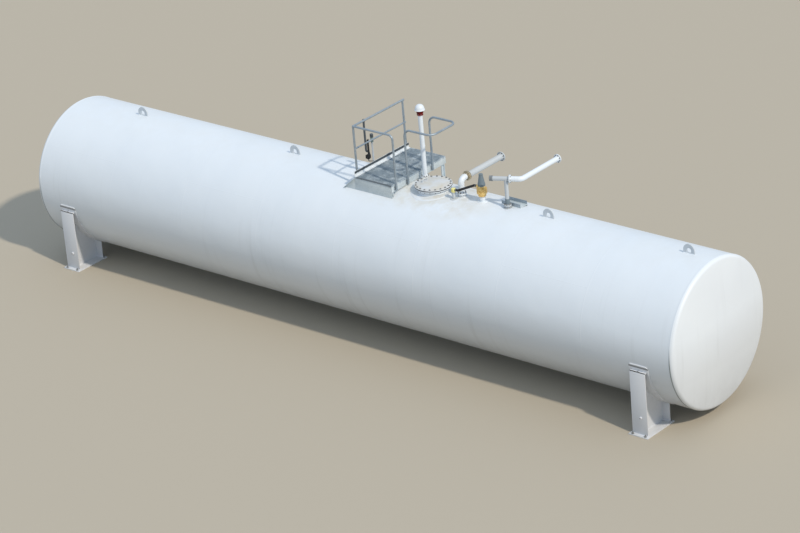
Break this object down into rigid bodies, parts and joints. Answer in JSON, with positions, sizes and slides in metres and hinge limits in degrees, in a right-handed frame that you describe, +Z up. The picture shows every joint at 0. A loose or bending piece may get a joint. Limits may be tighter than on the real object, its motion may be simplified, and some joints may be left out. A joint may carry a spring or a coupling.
{
  "type": "horizontal biofuel storage tank",
  "caption": "Long horizontal steel tank on plate legs, with dished ends, crown manway, vent mast, pipe connections, lifting lugs and a small railed access platform",
  "frame": {"origin": "on the ground under the middle of the tank", "axes": "+X along the tank towards the end with the header pipe, +Y across it towards the side that the pipes leave on, +Z up"},
  "size_m": [16.1006, 3.1, 4.6213],
  "materials": {
    "white_paint": "satin white coating",
    "galvanised": "hot dip galvanised",
    "pipe_steel": "light grey pipe paint",
    "brass": "weathered",
    "black_rubber": "matt",
    "dark_grey": "satin",
    "red_paint": "gloss",
    "yellow_plastic": "gloss"
  },
  "bodies": {
    "root": {"shell": "white_paint", "head_right": "white_paint", "head_left": "white_paint", "leg_left_front": "white_paint", "leg_left_back": "white_paint", "leg_right_front": "white_paint", "leg_right_back": "white_paint", "lifting_lug_1": "white_paint", "lifting_lug_2": "white_paint", "lifting_lug_3": "white_paint", "lifting_lug_4": "white_paint", "manway_neck": "white_paint", "manway_cover": "white_paint", "vent_mast": "white_paint", "vent_fitting": "red_paint", "vent_cap": "white_paint", "transfer_riser": "white_paint", "transfer_coupling": "brass", "transfer_pipe": "pipe_steel", "sample_nozzle": "pipe_steel", "sample_cap": "yellow_plastic", "valve_body": "brass", "valve_hose": "black_rubber", "strainer_cone": "dark_grey", "header_riser": "pipe_steel", "riser_end": "black_rubber", "channel_pad": "galvanised", "header_pipe": "white_paint", "platform_frame": "galvanised", "platform_grating": "galvanised", "guardrail_side": "galvanised", "toe_board": "galvanised", "guardrail_end": "galvanised", "guardrail_bow": "galvanised", "junction_box": "black_rubber", "cable_tube": "dark_grey", "level_probe": "pipe_steel", "probe_head": "dark_grey"}
  },
  "joints": []
}
